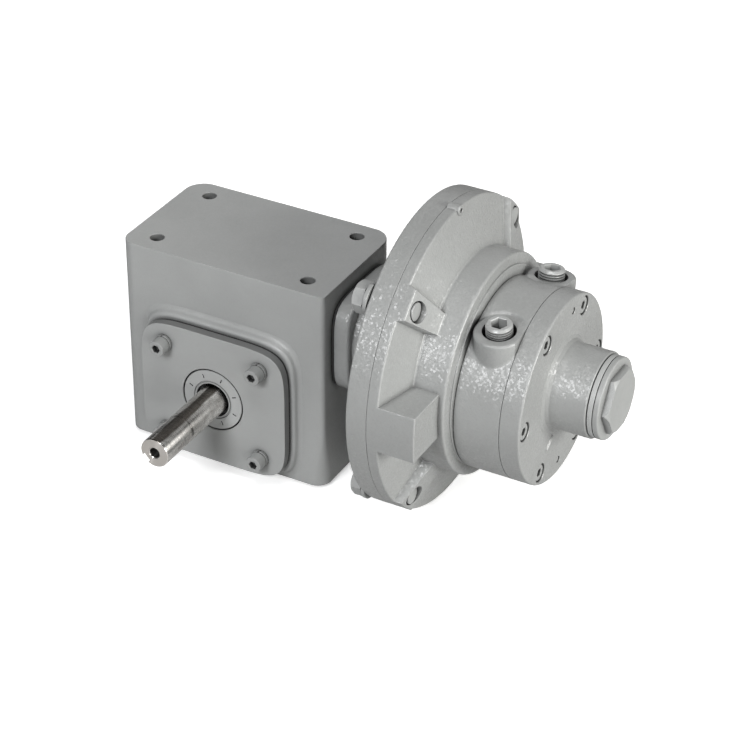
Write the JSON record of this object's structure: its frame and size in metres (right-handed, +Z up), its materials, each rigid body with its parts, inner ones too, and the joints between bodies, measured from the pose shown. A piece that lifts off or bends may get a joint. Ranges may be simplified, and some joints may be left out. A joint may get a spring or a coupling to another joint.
{
  "type": "air-driven worm gearmotor",
  "caption": "Air vane motor on a face bracket driving a right-angle worm reducer with a keyed solid output shaft.",
  "frame": {"origin": "middle of the reducer housing's base face, straight below the output shaft's axis", "axes": "+X along the motor axis from the reducer towards the motor's cap, -Y the way the output shaft points, +Z up"},
  "size_m": [0.2633, 0.183, 0.1649],
  "materials": {
    "reducer_paint": "grey enamel over a smooth machined casting",
    "motor_paint": "light grey enamel over a sand-cast skin, bright at worn edges",
    "shaft_steel": "ground and polished",
    "machine_steel": "turned and oiled",
    "fastener_steel": "zinc plated",
    "gear_bronze": "hobbed bronze",
    "seal_rubber": "moulded nitrile in a painted steel case",
    "gasket_sheet": "dark compressed sheet",
    "vane_composite": "cloth-filled resin"
  },
  "bodies": {
    "casing": {"gear_housing": "reducer_paint", "output_cover": "reducer_paint", "input_flange": "reducer_paint", "motor_bracket": "motor_paint", "motor_body": "motor_paint", "end_plate": "motor_paint", "end_cap": "motor_paint", "cover_screw_1": "fastener_steel", "cover_screw_2": "fastener_steel", "cover_screw_3": "fastener_steel", "cover_screw_4": "fastener_steel", "cover_washer_1": "fastener_steel", "cover_washer_2": "fastener_steel", "cover_washer_3": "fastener_steel", "cover_washer_4": "fastener_steel", "motor_bolt_1": "fastener_steel", "motor_bolt_2": "fastener_steel", "motor_bolt_3": "fastener_steel", "motor_bolt_4": "fastener_steel", "lock_washer_1": "fastener_steel", "lock_washer_2": "fastener_steel", "lock_washer_3": "fastener_steel", "lock_washer_4": "fastener_steel", "end_plate_screw_1": "fastener_steel", "end_plate_screw_2": "fastener_steel", "end_plate_screw_3": "fastener_steel", "end_plate_screw_4": "fastener_steel", "end_plate_screw_5": "fastener_steel", "end_plate_screw_6": "fastener_steel", "port_plug_1": "fastener_steel", "port_plug_2": "fastener_steel", "fill_plug": "fastener_steel", "drain_plug": "fastener_steel", "output_seal": "seal_rubber", "input_seal": "seal_rubber", "motor_seal": "seal_rubber", "cover_gasket": "gasket_sheet", "flange_gasket": "gasket_sheet", "cap_gasket": "gasket_sheet", "output_bearing_front": "machine_steel", "output_bearing_rear": "machine_steel", "worm_bearing_blind": "machine_steel", "worm_bearing_input": "machine_steel", "drive_bearing": "machine_steel", "dead_end_bearing": "machine_steel", "dowel_pin_1": "machine_steel", "dowel_pin_2": "machine_steel"},
    "output": {"output_shaft": "shaft_steel", "worm_wheel": "gear_bronze", "gear_key": "machine_steel"},
    "rotor": {"worm_shaft": "machine_steel", "motor_shaft": "shaft_steel", "shaft_key": "machine_steel", "rotor": "machine_steel", "vane_1": "vane_composite", "vane_2": "vane_composite", "vane_3": "vane_composite", "vane_4": "vane_composite"}
  },
  "joints": [
    {"name": "rotor_spin", "type": "hinge", "parent": "casing", "child": "rotor", "pos_m": [0, 0, 0.0797], "axis": [1, 0, 0], "continuous": true},
    {"name": "output_spin", "type": "hinge", "parent": "casing", "child": "output", "pos_m": [0, 0, 0.0416], "axis": [0, -1, 0], "continuous": true}
  ],
  "couplings": [
    {"joint": "output_spin", "follows": "rotor_spin", "ratio": 0.05}
  ]
}
